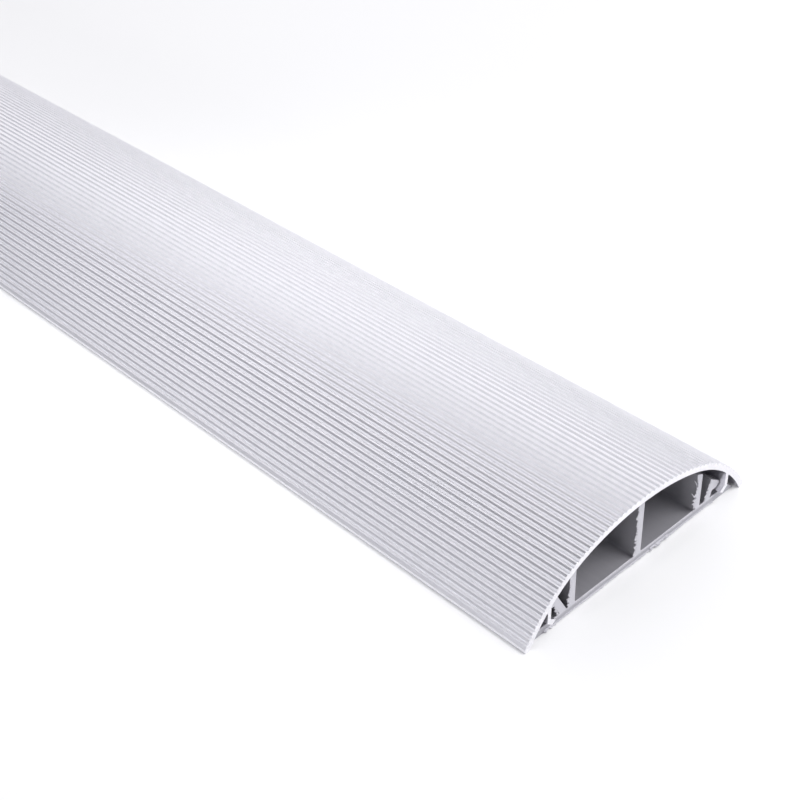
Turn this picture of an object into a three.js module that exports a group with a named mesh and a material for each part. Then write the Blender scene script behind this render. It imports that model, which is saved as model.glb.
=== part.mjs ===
import * as THREE from 'three';

// Floor cord cover: a ribbed aluminium lid snapped over a plastic base with cable channels.
// Millimetres. X runs across the section, Y along the length, Z up from the floor.

// Lid: overall size, and the slopes that shape its three-centred arch
const LENGTH = 1000;
const COVER_WIDTH = 75;
const COVER_HEIGHT = 20;
const CROWN_HALF_ANGLE = THREE.MathUtils.degToRad(17.8);
const TOE_SLOPE = THREE.MathUtils.degToRad(60.5);
const WALL = 1.65;
const TOE_HEIGHT = 1;
const TOE_CHAMFER = 0.3;

// Lid: lengthwise grooves leave the ribs standing, and a plain band is left at each toe
const RIB_PITCH = 1.555;
const GROOVE_MOUTH = 1;
const GROOVE_FLOOR = 0.3;
const GROOVE_DEPTH = 0.42;
const RIB_EDGE = 0.06;
const TOE_BAND = 0.85;

// Lid: a hanging leg near each toe, with a barb that points inwards
const LEG_INSET = 6.7;
const LEG_WALL = 1;
const LEG_ROOT_FILLET = 0.6;
const LEG_CLEARANCE = 0.6;
const LEG_HEEL_RISE = 1.2;
const BARB_FOOT = 0.5;
const BARB_REACH = 1.6;
const BARB_NOSE_RISE = 0.75;
const BARB_SLOPE_RISE = 1.25;

// Base: a plate whose thin bevelled edges stop inside the toes, cut a little shorter than the lid
const END_SETBACK = 1.35;
const PLATE = 2;
const EDGE_GAP = 1;
const EDGE_THICKNESS = 0.4;
const EDGE_BEVEL = 2;

// Base: a middle divider and two outer ones, all cut parallel to the lid above them
const DIVIDER = 1.95;
const MIDDLE_DIVIDER_OFFSET = 0.4;
const OUTER_DIVIDER_INSET = 7.3;
const LID_GAP = 2;
const DIVIDER_FILLET = 0.7;
const DIVIDER_TOP_ROUND = 0.25;

// Base: a clip post across a narrow slot from each outer divider, hooked over the leg's barb.
// The left post stands closer to its divider, leans out further and is taller, so its hook is
// lifted higher over the barb.
const POST_WALL = 2.2;
const POST_LEFT = { side: -1, slot: 0.7, lean: 3.8, lift: 1.6, lidGap: 1.65 };
const POST_RIGHT = { side: 1, slot: 1.6, lean: 2, lift: 0, lidGap: 3.5 };
const SLOT_FILLET = 0.5;
const SLOT_FILLET_SHARE = 0.4;
const POST_HEEL_FILLET = 0.4;
const HOOK_GAP = 0.3;
const HOOK_LIP = 0.5;
const HOOK_NOSE = 0.6;
const HOOK_ROUND = 0.25;

// Chord length on the lid's smooth inside, and steps round a small fillet
const CHORD = 1.6;
const FILLET_STEPS = 3;

const ANODISED_ALUMINIUM = new THREE.MeshStandardMaterial({
  color: '#cdced8',
  roughness: 0.4,
  metalness: 0.9,
});
const GREY_RIGID_PLASTIC = new THREE.MeshStandardMaterial({
  color: '#aeadb2',
  roughness: 0.6,
  metalness: 0,
});

// The crown and flank radii follow from the lid's width and height and the two slopes
const spanShare = {
  crown: Math.sin(CROWN_HALF_ANGLE),
  flank: Math.sin(TOE_SLOPE) - Math.sin(CROWN_HALF_ANGLE),
};
const riseShare = {
  crown: 1 - Math.cos(CROWN_HALF_ANGLE),
  flank: Math.cos(CROWN_HALF_ANGLE) - Math.cos(TOE_SLOPE),
};
const halfWidth = COVER_WIDTH / 2;
const archRise = COVER_HEIGHT - TOE_HEIGHT;
const shareProduct = spanShare.crown * riseShare.flank - spanShare.flank * riseShare.crown;
const crownRadius = (riseShare.flank * halfWidth - spanShare.flank * archRise) / shareProduct;
const flankRadius = (spanShare.crown * archRise - riseShare.crown * halfWidth) / shareProduct;
const crownCentre = new THREE.Vector2(0, COVER_HEIGHT - crownRadius);
const flankCentre = new THREE.Vector2(
  (crownRadius - flankRadius) * Math.sin(CROWN_HALF_ANGLE),
  crownCentre.y + (crownRadius - flankRadius) * Math.cos(CROWN_HALF_ANGLE),
);
const crownRun = crownRadius * CROWN_HALF_ANGLE;
const archRun = crownRun + flankRadius * (TOE_SLOPE - CROWN_HALF_ANGLE);

// Point of the arch at a run from its crown and a depth below its ribs
function archPoint(run, depth) {
  const distance = Math.abs(run);
  const onCrown = distance <= crownRun;
  const centre = onCrown ? crownCentre : flankCentre;
  const radius = (onCrown ? crownRadius : flankRadius) - depth;
  const crownAngle = distance / crownRadius;
  const flankAngle = CROWN_HALF_ANGLE + (distance - crownRun) / flankRadius;
  const angle = onCrown ? crownAngle : flankAngle;
  const x = Math.sign(run) * (centre.x + radius * Math.sin(angle));
  return new THREE.Vector2(x, centre.y + radius * Math.cos(angle));
}

// Run at which the lid's smooth inside is a distance from the middle
function insideRun(distance) {
  const crownReach = (crownRadius - WALL) * Math.sin(CROWN_HALF_ANGLE);
  if (distance <= crownReach) {
    return crownRadius * Math.asin(distance / (crownRadius - WALL));
  }
  const angle = Math.asin((distance - flankCentre.x) / (flankRadius - WALL));
  return crownRun + flankRadius * (angle - CROWN_HALF_ANGLE);
}

// Height of the lid's inside above the floor at a place across the section
function insideHeight(x) {
  return archPoint(insideRun(Math.abs(x)), WALL).y;
}

// Distance from the middle at which the lid's inside comes down to the floor
const insideReach = flankCentre.x + Math.sqrt((flankRadius - WALL) ** 2 - flankCentre.y ** 2);

// Points along the lid's inside from one run to another
function insideArc(from, to) {
  const steps = Math.ceil(Math.abs(to - from) / CHORD);
  const points = [];
  for (let step = 0; step <= steps; step += 1) {
    points.push(archPoint(THREE.MathUtils.lerp(from, to, step / steps), WALL));
  }
  return points;
}

// One corner of an outline, with the radius that it is rounded to
function corner(x, z, round = 0) {
  return { point: new THREE.Vector2(x, z), round };
}

// The same corners on the other side of the middle
function mirrored(corners) {
  return corners.map(({ point, round }) => corner(-point.x, point.y, round)).reverse();
}

// Outline through a ring of corners, with each rounded corner drawn as a short curve
function outlineOf(corners) {
  const points = [];
  corners.forEach(({ point, round }, index) => {
    if (round === 0) {
      points.push(point);
      return;
    }
    const before = corners.at(index - 1).point.clone().sub(point).setLength(round).add(point);
    const next = corners[(index + 1) % corners.length].point;
    const after = next.clone().sub(point).setLength(round).add(point);
    points.push(...new THREE.QuadraticBezierCurve(before, point, after).getPoints(FILLET_STEPS));
  });
  return points;
}

// Solid of a section extruded along the length, standing on the floor
function extrusion(name, outline, length, material) {
  const section = new THREE.Shape(outline);
  const geometry = new THREE.ExtrudeGeometry(section, { depth: length, bevelEnabled: false });
  const mesh = new THREE.Mesh(geometry, material);
  mesh.name = name;
  mesh.rotation.x = Math.PI / 2;
  mesh.position.y = length / 2;
  return mesh;
}

// The lid's leg and barb on the right side
const legOuter = halfWidth - LEG_INSET;
const legInner = legOuter - LEG_WALL;
const legFoot = PLATE + LEG_CLEARANCE;
const barbNose = new THREE.Vector2(legInner - BARB_REACH, legFoot + BARB_NOSE_RISE);
const barbRoot = new THREE.Vector2(legInner, barbNose.y + BARB_SLOPE_RISE);
const barbSlope = barbRoot.clone().sub(barbNose).normalize();

// Outer face of the outer dividers, measured from the middle
const dividerOuter = legInner - OUTER_DIVIDER_INSET;

// Ribbed top of the lid, from the left toe to the right toe
function ribbedTop() {
  const mouth = GROOVE_MOUTH / 2;
  const shoulder = mouth - RIB_EDGE;
  const floor = GROOVE_FLOOR / 2;
  const groovesEachSide = Math.floor((archRun - TOE_BAND - mouth) / RIB_PITCH + 0.5);
  const points = [archPoint(-archRun, 0)];
  for (let groove = -groovesEachSide; groove < groovesEachSide; groove += 1) {
    const run = (groove + 0.5) * RIB_PITCH;
    points.push(archPoint(run - mouth, 0));
    points.push(archPoint(run - shoulder, RIB_EDGE));
    points.push(archPoint(run - floor, GROOVE_DEPTH));
    points.push(archPoint(run + floor, GROOVE_DEPTH));
    points.push(archPoint(run + shoulder, RIB_EDGE));
    points.push(archPoint(run + mouth, 0));
  }
  points.push(archPoint(archRun, 0));
  return points.map(({ x, y }) => corner(x, y));
}

// Right half of the lid below its ribs, from the toe round the leg to the middle
function coverRightUnderside() {
  const toeRun = insideRun(insideReach);
  const outerRun = insideRun(legOuter);
  const innerRun = insideRun(legInner);
  const flap = insideArc(toeRun, outerRun).slice(0, -1);
  const roof = insideArc(innerRun, 0).slice(1);
  return [
    corner(halfWidth, TOE_CHAMFER),
    corner(halfWidth - TOE_CHAMFER, 0),
    ...flap.map(({ x, y }) => corner(x, y)),
    corner(legOuter, insideHeight(legOuter), LEG_ROOT_FILLET),
    corner(legOuter, legFoot + LEG_HEEL_RISE),
    corner(legInner - BARB_FOOT, legFoot),
    corner(barbNose.x, barbNose.y),
    corner(barbRoot.x, barbRoot.y),
    corner(legInner, insideHeight(legInner), LEG_ROOT_FILLET),
    ...roof.map(({ x, y }) => corner(x, y)),
  ];
}

// Lid: ribbed arch, two toes and two barbed legs, one extrusion
function cover() {
  const right = coverRightUnderside();
  const left = mirrored(right).slice(1);
  const outline = outlineOf([...ribbedTop(), ...right, ...left]);
  return extrusion('cover', outline, LENGTH, ANODISED_ALUMINIUM);
}

// Divider that stands on the plate, from its left face, with a fillet at each foot
function dividerCorners(left, leftFillet, rightFillet) {
  const right = left + DIVIDER;
  return [
    corner(left, PLATE, leftFillet),
    corner(left, insideHeight(left) - LID_GAP, DIVIDER_TOP_ROUND),
    corner(right, insideHeight(right) - LID_GAP, DIVIDER_TOP_ROUND),
    corner(right, PLATE, rightFillet),
  ];
}

// Fillet on both sides of the slot between an outer divider and its post
function slotFillet({ slot }) {
  return Math.min(SLOT_FILLET, slot * SLOT_FILLET_SHARE);
}

// Clip post, leaning out to a hook whose underside lies over the barb's slope
function postCorners(post) {
  const barbNormal = new THREE.Vector2(-barbSlope.y, barbSlope.x);
  const overNose = barbNose.clone().addScaledVector(barbNormal, HOOK_GAP);
  overNose.y += post.lift;
  const lip = overNose.clone().addScaledVector(barbSlope, HOOK_LIP);
  const noseX = legInner - HOOK_GAP;
  const noseZ = overNose.y + (noseX - overNose.x) * (barbSlope.y / barbSlope.x);
  const footX = dividerOuter + post.slot;
  const crest = insideHeight(footX + post.lean) - post.lidGap;
  const stemX = footX + POST_WALL + (post.lean * (lip.y - PLATE)) / (crest - PLATE);
  const corners = [
    corner(footX, PLATE, slotFillet(post)),
    corner(footX + post.lean, crest, HOOK_ROUND),
    corner(noseX, noseZ + HOOK_NOSE, HOOK_ROUND),
    corner(noseX, noseZ),
    corner(lip.x, lip.y),
    corner(stemX, lip.y, HOOK_ROUND),
    corner(footX + POST_WALL, PLATE, POST_HEEL_FILLET),
  ];
  return post.side > 0 ? corners : mirrored(corners);
}

// Base: plate, dividers and clip posts, one extrusion
function base() {
  const edge = insideReach - EDGE_GAP;
  const middleLeft = MIDDLE_DIVIDER_OFFSET - DIVIDER / 2;
  const rightEdge = [
    corner(edge - EDGE_BEVEL, PLATE),
    corner(edge, EDGE_THICKNESS),
    corner(edge, 0),
  ];
  const outline = outlineOf([
    ...mirrored(rightEdge),
    ...postCorners(POST_LEFT),
    ...dividerCorners(-dividerOuter, slotFillet(POST_LEFT), DIVIDER_FILLET),
    ...dividerCorners(middleLeft, DIVIDER_FILLET, DIVIDER_FILLET),
    ...dividerCorners(dividerOuter - DIVIDER, DIVIDER_FILLET, slotFillet(POST_RIGHT)),
    ...postCorners(POST_RIGHT),
    ...rightEdge,
  ]);
  return extrusion('base', outline, LENGTH - 2 * END_SETBACK, GREY_RIGID_PLASTIC);
}

const cordCover = new THREE.Group();
cordCover.name = 'floor_cord_cover';
cordCover.add(cover(), base());

export default cordCover;
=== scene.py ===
import math
import random
from collections import namedtuple

import bpy
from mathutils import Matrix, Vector


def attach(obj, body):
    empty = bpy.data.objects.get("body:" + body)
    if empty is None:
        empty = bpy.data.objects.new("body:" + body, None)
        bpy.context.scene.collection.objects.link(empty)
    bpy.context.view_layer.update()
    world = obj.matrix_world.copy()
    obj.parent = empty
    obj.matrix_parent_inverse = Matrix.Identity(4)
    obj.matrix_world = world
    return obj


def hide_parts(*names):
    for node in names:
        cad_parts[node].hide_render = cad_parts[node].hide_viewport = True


# Floor cord cover: an anodised aluminium lid over a grey plastic base, both sawn to length.
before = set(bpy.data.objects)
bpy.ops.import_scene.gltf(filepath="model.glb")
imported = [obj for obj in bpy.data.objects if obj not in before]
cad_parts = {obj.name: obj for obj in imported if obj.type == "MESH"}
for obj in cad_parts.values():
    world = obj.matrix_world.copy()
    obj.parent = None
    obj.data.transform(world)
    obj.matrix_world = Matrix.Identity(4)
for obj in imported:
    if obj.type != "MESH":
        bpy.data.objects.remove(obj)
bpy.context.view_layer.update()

MM = 0.001
LENGTH = 1000 * MM
LID_END = LENGTH / 2
BASE_END = 498.65 * MM

# Lid's outline: a flat crown that turns into a rounder flank on each side
LID_HEIGHT = 20 * MM
CROWN_RADIUS = 57.36 * MM
FLANK_RADIUS = 35.36 * MM
CROWN_HALF_ANGLE = math.radians(17.8)

# Camera: at the height and angle that show the near end and the whole width of the lid
CAMERA_PLACE_MM = (-195.27, -635.91, 220.92)
CAMERA_TURN_DEG = (53.174, 1.581, -43.875)
CAMERA_LENS_MM = 65.52
CAMERA_SENSOR_MM = 36
CAMERA_SEES_FROM = 10 * MM
CAMERA_SEES_TO = 40


def place_camera():
    bpy.ops.object.camera_add(
        location=[value * MM for value in CAMERA_PLACE_MM],
        rotation=[math.radians(value) for value in CAMERA_TURN_DEG],
    )
    camera = bpy.context.object
    camera.data.lens = CAMERA_LENS_MM
    camera.data.sensor_width = CAMERA_SENSOR_MM
    camera.data.clip_start = CAMERA_SEES_FROM
    camera.data.clip_end = CAMERA_SEES_TO
    bpy.context.scene.camera = camera


place_camera()

# Values that a noise mostly keeps between, and a mix node's sockets for colours by their places
NOISE_RANGE = {"From Min": 0.3, "From Max": 0.7}
MIX_FACTOR, MIX_FROM, MIX_TO = 0, 6, 7
MIX_RESULT = 2


def colour(hex_value):
    """Linear colour of an sRGB hex value."""
    channels = [int(hex_value[at:at + 2], 16) / 255 for at in (1, 3, 5)]
    linear = [c / 12.92 if c <= 0.04045 else ((c + 0.055) / 1.055) ** 2.4 for c in channels]
    return (*linear, 1)


def add_node(tree, kind, settings=None, links=None):
    """Adds a node: settings are its own properties or its sockets' values, links feed sockets."""
    made = tree.nodes.new(kind)
    for name, value in (settings or {}).items():
        if isinstance(name, str) and hasattr(made, name):
            setattr(made, name, value)
        else:
            made.inputs[name].default_value = value
    for name, source in (links or {}).items():
        tree.links.new(source, made.inputs[name])
    return made


def per_metre(size_mm):
    """Pattern scale that gives features of a real size on Object coordinates."""
    return 1 / (size_mm * MM)


def new_material(name):
    material = bpy.data.materials.new(name)
    material.use_nodes = True
    material.node_tree.nodes.clear()
    return material, material.node_tree


def grain(tree, size_mm, detail=2, rough=0.5):
    """Noise whose features have a real size in millimetres across, along and up."""
    place = add_node(tree, "ShaderNodeTexCoord")
    scaled = add_node(
        tree,
        "ShaderNodeMapping",
        {"Scale": [per_metre(size) for size in size_mm]},
        {"Vector": place.outputs["Object"]},
    )
    return add_node(
        tree,
        "ShaderNodeTexNoise",
        {"Scale": 1, "Detail": detail, "Roughness": rough},
        {"Vector": scaled.outputs["Vector"]},
    ).outputs["Fac"]


def surface(tree, settings, links=None):
    shader = add_node(tree, "ShaderNodeBsdfPrincipled", settings, links)
    add_node(tree, "ShaderNodeOutputMaterial", None, {"Surface": shader.outputs["BSDF"]})


def patterned_surface(tree, pattern, tones, roughness, bump_mm, settings, tone_source=None):
    """Surface whose tone, roughness and relief follow a noise, or the tone another source."""
    if tone_source is None:
        tone_range = add_node(tree, "ShaderNodeMapRange", NOISE_RANGE, {"Value": pattern})
        tone_source = tone_range.outputs["Result"]
    dark, light = tones
    tone = add_node(
        tree,
        "ShaderNodeMix",
        {"data_type": "RGBA", MIX_FROM: colour(dark), MIX_TO: colour(light)},
        {MIX_FACTOR: tone_source},
    )
    smoothest, roughest = roughness
    dullness = add_node(
        tree,
        "ShaderNodeMapRange",
        {**NOISE_RANGE, "To Min": smoothest, "To Max": roughest},
        {"Value": pattern},
    )
    relief = add_node(
        tree,
        "ShaderNodeBump",
        {"Strength": 1, "Distance": bump_mm * MM},
        {"Height": pattern},
    )
    surface(
        tree,
        settings,
        {
            "Base Color": tone.outputs[MIX_RESULT],
            "Roughness": dullness.outputs["Result"],
            "Normal": relief.outputs["Normal"],
        },
    )


def satin_anodised_aluminium():
    """Clear anodised extruded aluminium: cool silver, satin, with faint streaks along the die."""
    material, tree = new_material("satin_anodised_aluminium")
    die_streaks = grain(tree, (0.35, 14, 0.35), detail=3)
    # The etched grain is finer than a pixel, so it is drawn as coarse as it needs to show
    etched_grain = grain(tree, (0.28, 0.9, 0.28))
    mixed = add_node(
        tree, "ShaderNodeMath", {"operation": "ADD"}, {0: die_streaks, 1: etched_grain}
    ).outputs[0]
    halved = add_node(
        tree, "ShaderNodeMath", {"operation": "MULTIPLY", 1: 0.5}, {0: mixed}
    ).outputs[0]
    # The oxide skin dulls the shine of faces seen edge-on
    patterned_surface(
        tree,
        halved,
        tones=("#dedee2", "#e6e5e9"),
        roughness=(0.28, 0.34),
        bump_mm=0.012,
        settings={"Metallic": 1, "Specular Tint": colour("#e7e7ea")},
    )
    return material


def matt_anodised_aluminium():
    """The same skin down in the grooves, where no foot or hand rubs it: pale and much duller."""
    material, tree = new_material("matt_anodised_aluminium")
    # Drawn coarser than the real grain, as on the ribs
    etched_grain = grain(tree, (0.25, 1.6, 0.25))
    patterned_surface(
        tree,
        etched_grain,
        tones=("#dddde1", "#e6e5e9"),
        roughness=(0.58, 0.68),
        bump_mm=0.01,
        settings={"Metallic": 0.35},
    )
    return material


def sawn_aluminium():
    """Bare aluminium cut across with a fine blade: bright, with close saw marks."""
    material, tree = new_material("sawn_aluminium")
    marks = grain(tree, (0.6, 0.6, 0.15), detail=3)
    patterned_surface(
        tree,
        marks,
        tones=("#e4e3e7", "#f0eff2"),
        roughness=(0.5, 0.65),
        bump_mm=0.01,
        settings={"Metallic": 0.45},
    )
    return material


PVC_IOR = 1.53
# Heights between which the sawn plastic turns paler at the plate's upper edge, where the painted
# shade that keeps the plate's end face darker near the floor fades out, and how much of that change
# the tears add or take away
SHADE_FADES_FROM = 1.3 * MM
SHADE_FADES_TO = 1.9 * MM
BLOTCHES = 0.15


def grey_rigid_pvc():
    """Extruded rigid PVC: neutral grey, matt, with faint draw lines along the length."""
    material, tree = new_material("grey_rigid_pvc")
    draw_lines = grain(tree, (0.5, 40, 0.5))
    patterned_surface(
        tree,
        draw_lines,
        tones=("#7f7e83", "#828186"),
        roughness=(0.5, 0.6),
        bump_mm=0.002,
        settings={"IOR": PVC_IOR},
    )
    return material


def sawn_pvc():
    """Rigid PVC torn by the saw: paler than the drawn faces, palest above the plate, and dull; its
    darker tone on the plate's end face is painted shade near the floor.
    """
    material, tree = new_material("sawn_pvc")
    tears = grain(tree, (0.5, 0.5, 0.35), detail=4, rough=0.6)
    place = add_node(tree, "ShaderNodeTexCoord").outputs["Object"]
    height = add_node(tree, "ShaderNodeSeparateXYZ", None, {"Vector": place}).outputs["Z"]
    # Painted shade: the end face keeps its darker tone below the plate's upper edge, near the floor
    clear_of_painted_shade = add_node(
        tree,
        "ShaderNodeMapRange",
        {"From Min": SHADE_FADES_FROM, "From Max": SHADE_FADES_TO},
        {"Value": height},
    ).outputs["Result"]
    blotched = add_node(
        tree,
        "ShaderNodeMapRange",
        {**NOISE_RANGE, "To Min": -BLOTCHES, "To Max": BLOTCHES},
        {"Value": tears},
    ).outputs["Result"]
    painted_shade_and_tears = add_node(
        tree,
        "ShaderNodeMath",
        {"operation": "ADD", "use_clamp": True},
        {0: clear_of_painted_shade, 1: blotched},
    ).outputs[0]
    # The darker tone is painted shade on the plate's end face, with the tears' blotches over both
    # tones
    patterned_surface(
        tree,
        tears,
        tones=("#a1a0a6", "#c2c1c7"),
        roughness=(0.65, 0.8),
        bump_mm=0.06,
        settings={"IOR": PVC_IOR},
        tone_source=painted_shade_and_tears,
    )
    return material


def torn_pvc():
    """Shreds left by the blade: the PVC is stressed white, so they stand out pale and dull."""
    material, tree = new_material("torn_pvc")
    creases = grain(tree, (0.3, 0.3, 0.3), detail=3, rough=0.6)
    patterned_surface(
        tree,
        creases,
        tones=("#a9a8ae", "#c6c5cb"),
        roughness=(0.7, 0.85),
        bump_mm=0.05,
        settings={"IOR": PVC_IOR},
    )
    return material


ALUMINIUM = satin_anodised_aluminium()
ALUMINIUM_GROOVE = matt_anodised_aluminium()
ALUMINIUM_END = sawn_aluminium()
PVC = grey_rigid_pvc()
PVC_END = sawn_pvc()
PVC_SHREDS = torn_pvc()

# Limits for making the CAD nodes' loose triangles whole faces again
SAME_POINT = 0.004 * MM
SAME_PLANE = math.radians(0.5)

# Edge breaks of the sawn ends, and how near the end an edge of it lies
LID_END_BREAK = 0.03 * MM
BASE_END_BREAK = 0.1 * MM
END_NEARNESS = 0.01 * MM

# Finishes: their places in a piece's list, how far along Y a face of an end points, and the
# angle below which neighbouring faces are shaded smooth
SIDES, ENDS, GROOVES = 0, 1, 2
END_NORMAL = 0.5
SMOOTH_BELOW = math.radians(30)

# Depths below the ribs' tops between which every face of a groove has its middle
GROOVE_TOP = 0.02 * MM
GROOVE_BOTTOM = 0.8 * MM


def select_none():
    bpy.ops.object.select_all(action="DESELECT")


def make_active(piece):
    select_none()
    piece.select_set(True)
    bpy.context.view_layer.objects.active = piece


def copy_of_node(node, name):
    """A merged copy of a CAD node, with its flat faces whole again."""
    piece = bpy.data.objects.new(name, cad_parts[node].data.copy())
    bpy.context.scene.collection.objects.link(piece)
    piece.data.materials.clear()
    make_active(piece)
    bpy.ops.object.mode_set(mode="EDIT")
    bpy.ops.mesh.select_all(action="SELECT")
    bpy.ops.mesh.remove_doubles(threshold=SAME_POINT)
    bpy.ops.mesh.dissolve_limited(angle_limit=SAME_PLANE)
    bpy.ops.object.mode_set(mode="OBJECT")
    return piece


def select_edges(piece, wanted):
    """Selects the edges for which wanted says yes, and nothing else."""
    make_active(piece)
    bpy.ops.object.mode_set(mode="EDIT")
    bpy.ops.mesh.select_mode(type="EDGE")
    bpy.ops.mesh.select_all(action="DESELECT")
    bpy.ops.object.mode_set(mode="OBJECT")
    mesh = piece.data
    for edge in mesh.edges:
        edge.select = wanted(*(mesh.vertices[index].co for index in edge.vertices))
    bpy.ops.object.mode_set(mode="EDIT")


def on_end(reach):
    """Says whether an edge lies round one end of a part that reaches this far."""
    limit = reach - END_NEARNESS
    return lambda a, b: abs(a.y) > limit and abs(a.y - b.y) < reach


def soften_ends(piece, reach, width):
    """Breaks the sharp edges round both ends."""
    select_edges(piece, on_end(reach))
    bpy.ops.mesh.bevel(offset=width, segments=1, affect="EDGES", clamp_overlap=True)
    bpy.ops.object.mode_set(mode="OBJECT")


def dress(piece, side_material, end_material):
    """Drawn finish along the sides and sawn finish on the two ends."""
    piece.data.materials.append(side_material)
    piece.data.materials.append(end_material)
    for face in piece.data.polygons:
        face.material_index = ENDS if abs(face.normal.y) > END_NORMAL else SIDES
    make_active(piece)
    bpy.ops.object.shade_smooth_by_angle(angle=SMOOTH_BELOW)


def depth_below_ribs(place):
    """How far a place lies under the outline that runs over the tops of the lid's ribs."""
    crown_centre = Vector((0, LID_HEIGHT - CROWN_RADIUS))
    arm = CROWN_RADIUS - FLANK_RADIUS
    turn = Vector((math.sin(CROWN_HALF_ANGLE), math.cos(CROWN_HALF_ANGLE))) * arm
    point = Vector((abs(place.x), place.z))
    from_crown = point - crown_centre
    if math.atan2(from_crown.x, from_crown.y) <= CROWN_HALF_ANGLE:
        return CROWN_RADIUS - from_crown.length
    return FLANK_RADIUS - (from_crown - turn).length


def finish_grooves(lid):
    """Gives the groove finish to the faces that lie between the ribs' tops and the lid's inside."""
    lid.data.materials.append(ALUMINIUM_GROOVE)
    for face in lid.data.polygons:
        in_groove = GROOVE_TOP < depth_below_ribs(face.center) < GROOVE_BOTTOM
        if face.material_index == SIDES and in_groove:
            face.material_index = GROOVES


def build_lid():
    lid = copy_of_node("cover", "lid")
    soften_ends(lid, LID_END, LID_END_BREAK)
    dress(lid, ALUMINIUM, ALUMINIUM_END)
    finish_grooves(lid)
    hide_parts("cover")
    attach(lid, "root")


def build_base():
    tray = copy_of_node("base", "channel_base")
    soften_ends(tray, BASE_END, BASE_END_BREAK)
    dress(tray, PVC, PVC_END)
    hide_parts("base")
    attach(tray, "root")


# Flaps of plastic that the saw tore along the cut edges, with places across and up in mm: foot
# and head of the torn edge, way they reach, how far at even steps along it, how far they lean out
Flap = namedtuple("Flap", "foot head way reaches lean_out")
TO_LEFT, UP, DOWN = (-1, 0), (0, 1), (0, -1)
LIP_REACHES = (0.3, 0.32, 0.28, 0.32)
UNDERSIDE_REACHES = (0.35, 0.1, 0.3, 0.05, 0.35, 0.15, 0.35, 0.05, 0.3)

MIDDLE_FLAP = Flap(
    (-0.575, 2.3), (-0.575, 16), TO_LEFT, (1, 0.9, 0.75, 0.7, 0.85, 0.6, 0.7, 0.8, 0.5), 0.3
)
RIGHT_FLAP = Flap(
    (20.55, 2.3), (20.55, 11), TO_LEFT, (0.9, 1.2, 1.4, 1.3, 0.9, 0.4, 0.15, 0.2, 0.1), 0.5
)
LEFT_FLAP = Flap((-22.5, 2.3), (-22.5, 8.5), TO_LEFT, (0.4, 0.9, 1, 0.6, 0.2, 0.1), 0.3)
RIGHT_POST_FLAP = Flap((24.2, 2.4), (25.9, 7.2), TO_LEFT, (0.4, 0.7, 0.8, 0.7, 0.3), 0.3)
LEFT_POST_FLAP = Flap((-25.9, 2.3), (-27.1, 5.1), TO_LEFT, (0.2, 0.7, 0.4, 0.85, 0.3), 0.3)
LEFT_LIP_FLAP = Flap((-20.2, 1.62), (-0.9, 1.62), UP, LIP_REACHES, 0.06)
RIGHT_LIP_FLAP = Flap((1.8, 1.62), (20.2, 1.62), UP, LIP_REACHES, 0.06)
UNDERSIDE_FLAP = Flap((-27.5, 0.45), (27.5, 0.45), DOWN, UNDERSIDE_REACHES, 0.3)
CHIP_FLAP = Flap((4.6, 0.85), (10.8, 0.95), DOWN, (0.3, 0.55, 0.6, 0.6, 0.55, 0.4, 0.15), 0.8)
CORNER_FLAP = Flap((-30.5, 0.6), (-27.5, 0.7), DOWN, (0.3, 0.5, 0.5, 0.3), 0.5)
FLAPS = (
    MIDDLE_FLAP,
    RIGHT_FLAP,
    LEFT_FLAP,
    RIGHT_POST_FLAP,
    LEFT_POST_FLAP,
    LEFT_LIP_FLAP,
    RIGHT_LIP_FLAP,
    UNDERSIDE_FLAP,
    CHIP_FLAP,
    CORNER_FLAP,
)

# Teeth of a flap, in mm: their pitch and how deep they are rooted in the edge. Shares of the
# flap's reach and of its lean that a tooth gets at random
TOOTH_PITCH = 0.3
FLAP_ROOT = 0.12
TOOTH_REACH_SHARES = (0.15, 1.25)
TOOTH_LEAN_SHARES = (0.2, 1)
FLAP_ROWS = 2
FLAP_THICKNESS = 0.14 * MM

# Thin shreds on the right divider, as places across and up in mm from their root to their tip
UPPER_HAIR = ((20.5, 9.4), (20, 10), (19.4, 11), (18.57, 12.04))
LOWER_HAIR = ((20.55, 5.4), (19.64, 6.47), (18.77, 7.75), (18.06, 8.63))
HAIR_RADIUS = 0.13 * MM
HAIR_LEAN = 0.5 * MM
HAIR_TAPER = 0.6
HAIR_CURVE_ORDER = 3
HAIR_STEPS = 5
HAIR_ROUNDNESS = 1

# The two ends, and a seed for each one's teeth
NEAR_END, FAR_END = -1, 1
NEAR_SEED, FAR_SEED = 11, 29


def along_steps(steps, share):
    """Value between even steps at a share of the whole run."""
    at = share * (len(steps) - 1)
    first = min(int(at), len(steps) - 2)
    return steps[first] + (steps[first + 1] - steps[first]) * (at - first)


def tear_flap(end, flap, shaker):
    """Ragged strip along one cut edge, rooted on the end face."""
    foot, head, way = Vector(flap.foot), Vector(flap.head), Vector(flap.way)
    teeth = round((head - foot).length / TOOTH_PITCH)
    select_none()
    bpy.ops.mesh.primitive_grid_add(x_subdivisions=teeth, y_subdivisions=FLAP_ROWS, size=1)
    strip = bpy.context.object
    shares = [shaker.uniform(*TOOTH_REACH_SHARES) for _ in range(teeth + 1)]
    leans = [shaker.uniform(*TOOTH_LEAN_SHARES) * flap.lean_out for _ in range(teeth + 1)]
    # The grid is 1 long and 1 wide round its middle, so places on it give shares of the flap
    for vertex in strip.data.vertices:
        along, across = vertex.co.x + 0.5, vertex.co.y + 0.5
        tooth = round(along * teeth)
        reach = along_steps(flap.reaches, along) * shares[tooth]
        place = foot.lerp(head, along) + way * (across * (reach + FLAP_ROOT) - FLAP_ROOT)
        out = leans[tooth] * across * across
        vertex.co = (place.x * MM, end * (BASE_END + out * MM), place.y * MM)
    make_active(strip)
    thicken = strip.modifiers.new("thickness", "SOLIDIFY")
    thicken.thickness = FLAP_THICKNESS
    thicken.offset = 0
    bpy.ops.object.modifier_apply(modifier=thicken.name)
    return strip


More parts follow.
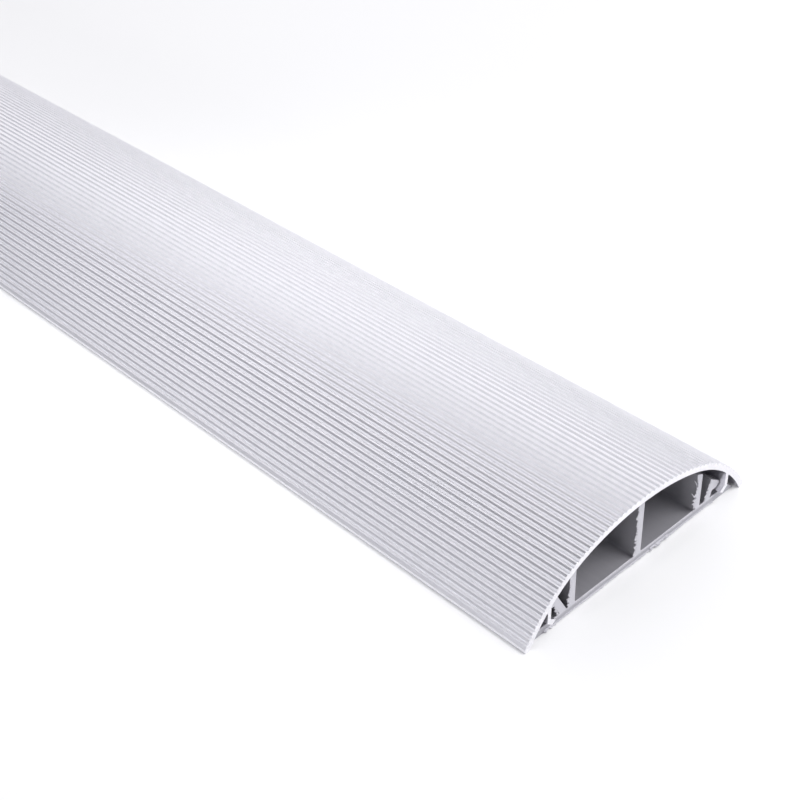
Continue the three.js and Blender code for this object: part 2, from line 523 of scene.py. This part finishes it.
def pull_hair(end, places):
    """Thin curled shred that stands off one end, thinner towards its tip."""
    curve = bpy.data.curves.new("shred", "CURVE")
    curve.dimensions = "3D"
    curve.bevel_depth = HAIR_RADIUS
    curve.bevel_resolution = HAIR_ROUNDNESS
    curve.use_fill_caps = True
    spline = curve.splines.new("NURBS")
    spline.points.add(len(places) - 1)
    spline.order_u = HAIR_CURVE_ORDER
    spline.use_endpoint_u = True
    spline.resolution_u = HAIR_STEPS
    for index, (point, (across, up)) in enumerate(zip(spline.points, places)):
        share = index / (len(places) - 1)
        point.co = (across * MM, end * (BASE_END + share * HAIR_LEAN), up * MM, 1)
        point.radius = 1 - HAIR_TAPER * share
    hair = bpy.data.objects.new("shred", curve)
    bpy.context.scene.collection.objects.link(hair)
    make_active(hair)
    bpy.ops.object.convert(target="MESH")
    return bpy.context.object


def build_burrs(end, name, seed):
    """Torn flaps and shreds of one sawn end of the base."""
    shaker = random.Random(seed)
    pieces = [tear_flap(end, flap, shaker) for flap in FLAPS]
    pieces += [pull_hair(end, places) for places in (UPPER_HAIR, LOWER_HAIR)]
    make_active(pieces[0])
    for piece in pieces:
        piece.select_set(True)
    bpy.ops.object.join()
    burrs = bpy.context.object
    burrs.name = name
    bpy.ops.object.mode_set(mode="EDIT")
    bpy.ops.mesh.select_all(action="SELECT")
    bpy.ops.mesh.normals_make_consistent(inside=False)
    bpy.ops.object.mode_set(mode="OBJECT")
    burrs.data.materials.clear()
    burrs.data.materials.append(PVC_SHREDS)
    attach(burrs, "root")


build_lid()
build_base()
build_burrs(NEAR_END, "near_saw_burrs", NEAR_SEED)
build_burrs(FAR_END, "far_saw_burrs", FAR_SEED)

# Room: a broad window low behind on the right, and grey walls that are dimmer near the ceiling
WINDOW_TOWARDS = (0.568, 0.676, 0.469)
WINDOW_FLATTENING = (1, 1, 1.2)
WINDOW_EDGE = {"From Min": 0.75, "From Max": 0.95}
WINDOW_COLOUR = "#e4e3e5"
WALL_COLOUR = "#929297"
CEILING_FADE = {"From Min": 0.6, "From Max": 0.88, "To Min": 1.75, "To Max": 1.15}
FLOOR_SIDE = 12
FLOOR_DROP = 0.05 * MM

# Soft boxes: direction from the middle of the lid's near half, distance and side in metres
NEAR_HALF_MIDDLE = Vector((0, -LENGTH / 4, 0))
KEY_SOFTBOX = {"towards": (0.35, -0.55, 0.75), "distance": 2.2, "side": 1.6, "radiance": 5.5}
SIDE_SOFTBOX = {"towards": (-0.97, -0.17, 0.1), "distance": 2.5, "side": 0.8, "radiance": 13}

# Spot: above the lid, with its pool of light a little behind the near end, in metres and watts
SPOT_PLACE = Vector((-0.2, -0.365, 0.55))
SPOT_AIM = Vector((0, -0.377, 0.01))
SPOT_CONE = math.radians(21)
SPOT_RADIUS = 0.08
SPOT_POWER = 4.4


def white_card():
    """Matt white studio board."""
    material, tree = new_material("matt_white_board")
    surface(
        tree,
        {"Base Color": colour("#ebebeb"), "Roughness": 0.9, "Specular IOR Level": 0.1},
    )
    return material


def lay_floor():
    bpy.ops.mesh.primitive_plane_add(size=FLOOR_SIDE, location=(0, 0, -FLOOR_DROP))
    floor = bpy.context.object
    floor.name = "floor"
    floor.data.materials.append(white_card())


def soft_light(name, towards, distance, side, radiance):
    """Square soft box that faces the lid's near half from a direction."""
    direction = Vector(towards).normalized()
    bpy.ops.object.light_add(type="AREA", location=NEAR_HALF_MIDDLE + direction * distance)
    light = bpy.context.object
    light.name = name
    light.rotation_euler = direction.to_track_quat("Z", "Y").to_euler()
    light.data.shape = "SQUARE"
    light.data.size = side
    light.data.energy = radiance * math.pi * side * side


def soft_spot():
    """Small lamp whose beam fades all the way from its middle to its edge."""
    bpy.ops.object.light_add(type="SPOT", location=SPOT_PLACE)
    light = bpy.context.object
    light.name = "top_spot"
    light.rotation_euler = (SPOT_PLACE - SPOT_AIM).to_track_quat("Z", "Y").to_euler()
    light.data.spot_size = SPOT_CONE
    light.data.spot_blend = 1
    light.data.shadow_soft_size = SPOT_RADIUS
    light.data.energy = SPOT_POWER


def surround_with_room():
    """Grey walls and a bright window all round, which light the lid and show in its shine."""
    world = bpy.data.worlds.new("studio")
    world.use_nodes = True
    tree = world.node_tree
    tree.nodes.clear()
    direction = add_node(tree, "ShaderNodeTexCoord").outputs["Generated"]
    stretched = add_node(
        tree,
        "ShaderNodeVectorMath",
        {"operation": "MULTIPLY", 1: WINDOW_FLATTENING},
        {0: direction},
    )
    heading = add_node(
        tree, "ShaderNodeVectorMath", {"operation": "NORMALIZE"}, {0: stretched.outputs["Vector"]}
    )
    towards_window = add_node(
        tree,
        "ShaderNodeVectorMath",
        {"operation": "DOT_PRODUCT", 1: WINDOW_TOWARDS},
        {0: heading.outputs["Vector"]},
    ).outputs["Value"]
    window = add_node(tree, "ShaderNodeMapRange", WINDOW_EDGE, {"Value": towards_window})
    walls = add_node(
        tree,
        "ShaderNodeMix",
        {"data_type": "RGBA", MIX_FROM: colour(WALL_COLOUR), MIX_TO: colour(WINDOW_COLOUR)},
        {MIX_FACTOR: window.outputs["Result"]},
    )
    up = add_node(tree, "ShaderNodeSeparateXYZ", None, {"Vector": direction}).outputs["Z"]
    fade = add_node(tree, "ShaderNodeMapRange", CEILING_FADE, {"Value": up})
    lit = add_node(
        tree,
        "ShaderNodeBackground",
        None,
        {"Color": walls.outputs[MIX_RESULT], "Strength": fade.outputs["Result"]},
    )
    add_node(tree, "ShaderNodeOutputWorld", None, {"Surface": lit.outputs["Background"]})
    bpy.context.scene.world = world


def light_room():
    """The room, a key light above in front, a low light on the left and a spot overhead."""
    surround_with_room()
    soft_light("key_softbox", **KEY_SOFTBOX)
    soft_light("low_side_softbox", **SIDE_SOFTBOX)
    soft_spot()
    bpy.context.scene.view_settings.view_transform = "Standard"


lay_floor()
light_room()
